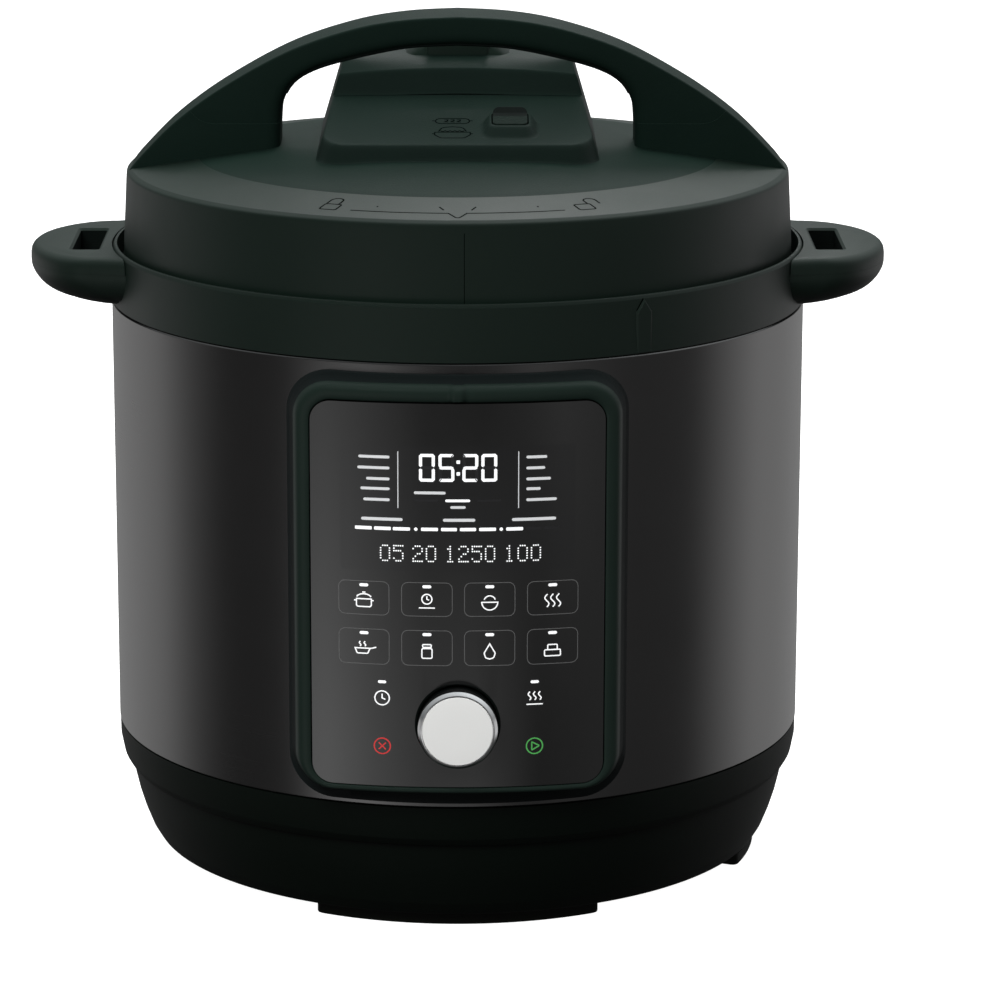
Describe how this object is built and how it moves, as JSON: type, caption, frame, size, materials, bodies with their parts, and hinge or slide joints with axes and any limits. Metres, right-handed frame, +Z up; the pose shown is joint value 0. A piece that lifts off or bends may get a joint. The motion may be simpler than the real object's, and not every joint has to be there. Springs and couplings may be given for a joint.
{
  "type": "electric pressure cooker",
  "caption": "Round electric pressure cooker: metal-sleeved base with front touch panel and push dial, twist-off domed lid with arched handle, steam valve and release button.",
  "frame": {"origin": "on the pot's axis, at the height of the feet's undersides; also the bottom centre of the whole box", "axes": "+Z up, -Y towards the control panel, +X to the right of someone facing the panel"},
  "size_m": [0.335, 0.31, 0.3335],
  "materials": {
    "dark_green_plastic": "fine-grained matt moulded polypropylene, very dark green-black",
    "black_stainless": "satin black stainless steel",
    "stainless_steel": "brushed stainless steel",
    "spring_steel": "bright spring wire",
    "cast_aluminium": "as-cast, machined face",
    "satin_silver": "satin silver with a polished chamfer",
    "gloss_film": "high-gloss black film",
    "black_plastic": "black moulded plastic",
    "smoke_plastic": "smoke-tinted clear plastic",
    "silicone": "translucent white silicone",
    "foot_rubber": "matt black rubber",
    "circuit_board": "green solder mask"
  },
  "bodies": {
    "base": {"base_screw_1": "stainless_steel", "base_screw_2": "stainless_steel", "base_screw_3": "stainless_steel", "base_shell": "dark_green_plastic", "control_board": "circuit_board", "cup_bracket": "dark_green_plastic", "display_module": "black_plastic", "encoder": "black_plastic", "filter_capacitor": "black_plastic", "front_foot": "foot_rubber", "handle_cap_left": "dark_green_plastic", "handle_cap_right": "dark_green_plastic", "heating_plate": "cast_aluminium", "inner_pot": "stainless_steel", "left_foot": "foot_rubber", "metal_sleeve": "black_stainless", "outer_pot": "stainless_steel", "panel_bezel": "dark_green_plastic", "panel_film": "gloss_film", "panel_tray": "black_plastic", "power_board": "circuit_board", "power_inlet": "black_plastic", "pressure_switch": "black_plastic", "relay": "black_plastic", "right_foot": "foot_rubber", "spring_plate": "stainless_steel", "thermal_fuse": "black_plastic", "thermostat_cup": "black_plastic", "thermostat_spring": "spring_steel", "touch_board": "circuit_board", "transformer": "cast_aluminium", "upper_collar": "dark_green_plastic"},
    "lid_hoist": {"sealing_ring": "silicone"},
    "lid": {"lid_cover": "dark_green_plastic", "handle_grip": "dark_green_plastic", "handle_liner": "dark_green_plastic", "handle_screw_left": "stainless_steel", "handle_screw_right": "stainless_steel", "inner_lid": "stainless_steel", "seal_rack": "stainless_steel", "valve_screen": "stainless_steel", "steam_pipe": "stainless_steel", "pipe_nut": "stainless_steel", "valve_cover": "dark_green_plastic", "lever_pin": "stainless_steel", "button_spring": "spring_steel", "lock_pin_spring": "spring_steel"},
    "steam_valve": {"steam_valve": "dark_green_plastic"},
    "button": {"release_button": "dark_green_plastic"},
    "lever": {"release_lever": "black_plastic"},
    "float": {"float_valve": "stainless_steel", "float_seal": "silicone"},
    "lock_pin": {"lock_pin": "stainless_steel"},
    "dial_push": {"push_sleeve": "black_plastic"},
    "dial": {"dial_knob": "satin_silver", "dial_face": "satin_silver", "dial_shaft": "stainless_steel"},
    "cup": {"condensation_cup": "smoke_plastic"},
    "thermostat": {"thermostat": "cast_aluminium"}
  },
  "joints": [
    {"name": "lid_lift", "type": "slide", "parent": "base", "child": "lid_hoist", "axis": [0, 0, 1], "range_m": [0, 0.16]},
    {"name": "lid_turn", "type": "hinge", "parent": "lid_hoist", "child": "lid", "pos_m": [0, 0, 0.25], "axis": [0, 0, 1], "range_deg": [0, 32]},
    {"name": "dial_press", "type": "slide", "parent": "base", "child": "dial_push", "axis": [0, 1, 0], "range_m": [0, 0.001], "stiffness_N_per_m": 2000, "springref_m": -0.001},
    {"name": "dial_turn", "type": "hinge", "parent": "dial_push", "child": "dial", "pos_m": [0, -0.146, 0.0891], "axis": [0, -1, 0], "continuous": true},
    {"name": "button_press", "type": "slide", "parent": "lid", "child": "button", "axis": [0, 0, -1], "range_m": [0, 0.003], "stiffness_N_per_m": 800, "springref_m": -0.002, "deforming": ["button_spring"]},
    {"name": "lever_turn", "type": "hinge", "parent": "lid", "child": "lever", "pos_m": [0.011, -0.008, 0.2923], "axis": [1, 0, 0], "range_deg": [0, 6.5]},
    {"name": "valve_lift", "type": "slide", "parent": "lid", "child": "steam_valve", "axis": [0, 0, 1], "range_m": [0, 0.0045]},
    {"name": "float_rise", "type": "slide", "parent": "lid", "child": "float", "axis": [0, 0, 1], "range_m": [0, 0.005]},
    {"name": "lock_pin_slide", "type": "slide", "parent": "lid", "child": "lock_pin", "axis": [0, 0, 1], "range_m": [0, 0.002], "stiffness_N_per_m": 150, "springref_m": -0.002, "deforming": ["lock_pin_spring"]},
    {"name": "cup_slide", "type": "slide", "parent": "base", "child": "cup", "axis": [0, 1, 0], "range_m": [0, 0.045]},
    {"name": "thermostat_press", "type": "slide", "parent": "base", "child": "thermostat", "axis": [0, 0, -1], "range_m": [0, 0.002], "stiffness_N_per_m": 400, "springref_m": -0.004, "deforming": ["thermostat_spring"]}
  ],
  "couplings": [
    {"joint": "lever_turn", "follows": "button_press", "rad_per_m": 34.5},
    {"joint": "valve_lift", "follows": "button_press", "ratio": 1.1}
  ]
}
